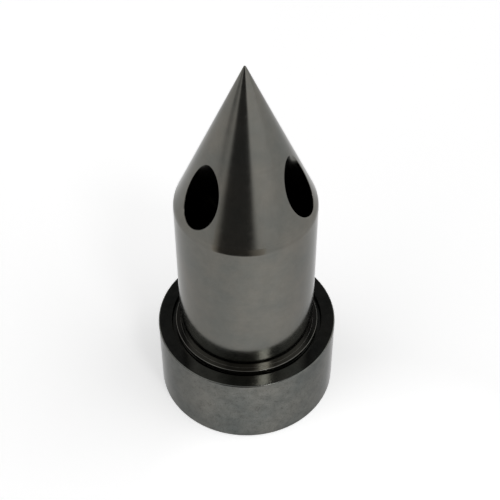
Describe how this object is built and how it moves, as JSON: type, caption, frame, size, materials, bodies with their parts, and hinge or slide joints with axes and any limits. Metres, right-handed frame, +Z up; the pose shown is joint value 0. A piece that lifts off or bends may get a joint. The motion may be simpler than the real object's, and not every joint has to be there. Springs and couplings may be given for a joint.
{
  "type": "coolant-fed live center",
  "caption": "Live center whose sharp conical point, with slanting coolant passages, revolves on a bearing-mounted hollow spindle in a plain round collar.",
  "frame": {"origin": "middle of the flat bottom face of the collar and base plate, on the axis of rotation", "axes": "+Z up the axis of rotation towards the tip; +Y towards the first coolant passage"},
  "size_m": [0.0534, 0.0534, 0.1207],
  "materials": {
    "collar_steel": "turned, satin, lightly scratched",
    "plate_steel": "face turned",
    "spindle_steel": "ground",
    "black_screws": "black oxide",
    "pin_steel": "ground",
    "seal_rubber": "moulded nitrile rubber",
    "seal_case_steel": "pressed sheet steel",
    "spring_steel": "drawn wire",
    "bearing_steel": "ground and lapped",
    "spacer_steel": "ground",
    "blackened_steel": "black oxide",
    "point_steel": "turned and ground, satin",
    "shield_steel": "pressed sheet steel",
    "ball_steel": "polished",
    "cage_brass": "machined"
  },
  "bodies": {
    "base": {"collar": "collar_steel", "base_plate": "plate_steel", "fixed_spindle": "spindle_steel", "base_screws": "black_screws", "locating_pins": "pin_steel", "spindle_key_screw": "black_screws", "base_o_ring": "seal_rubber", "spindle_o_ring": "seal_rubber", "port_o_ring": "seal_rubber", "neck_seal_case": "seal_case_steel", "neck_seal_lip": "seal_rubber", "neck_seal_spring": "spring_steel", "thrust_washer_lower": "bearing_steel", "lower_inner_ring": "bearing_steel", "inner_spacer": "spacer_steel", "upper_inner_ring": "bearing_steel", "lock_washer": "spacer_steel", "locknut": "blackened_steel"},
    "point": {"point": "point_steel", "thrust_washer_upper": "bearing_steel", "bearing_gland": "blackened_steel", "lower_outer_ring": "bearing_steel", "lower_shield": "shield_steel", "outer_spacer": "spacer_steel", "upper_outer_ring": "bearing_steel", "upper_shield": "shield_steel", "preload_spring": "spring_steel", "feed_seal_case": "seal_case_steel", "feed_seal_lip": "seal_rubber", "feed_seal_spring": "spring_steel"},
    "lower_ball_set": {"lower_balls": "ball_steel", "lower_cage": "cage_brass"},
    "upper_ball_set": {"upper_balls": "ball_steel", "upper_cage": "cage_brass"},
    "thrust_roller_set": {"thrust_needles": "ball_steel", "thrust_cage": "cage_brass"}
  },
  "joints": [
    {"name": "point_spin", "type": "hinge", "parent": "base", "child": "point", "pos_m": [0, 0, 0.03], "axis": [0, 0, 1], "continuous": true},
    {"name": "lower_cage_spin", "type": "hinge", "parent": "base", "child": "lower_ball_set", "pos_m": [0, 0, 0.019], "axis": [0, 0, 1], "continuous": true},
    {"name": "upper_cage_spin", "type": "hinge", "parent": "base", "child": "upper_ball_set", "pos_m": [0, 0, 0.032], "axis": [0, 0, 1], "continuous": true},
    {"name": "thrust_cage_spin", "type": "hinge", "parent": "base", "child": "thrust_roller_set", "pos_m": [0, 0, 0.01], "axis": [0, 0, 1], "continuous": true}
  ],
  "couplings": [
    {"joint": "lower_cage_spin", "follows": "point_spin", "ratio": 0.59233},
    {"joint": "upper_cage_spin", "follows": "point_spin", "ratio": 0.59233},
    {"joint": "thrust_cage_spin", "follows": "point_spin", "ratio": 0.5}
  ]
}
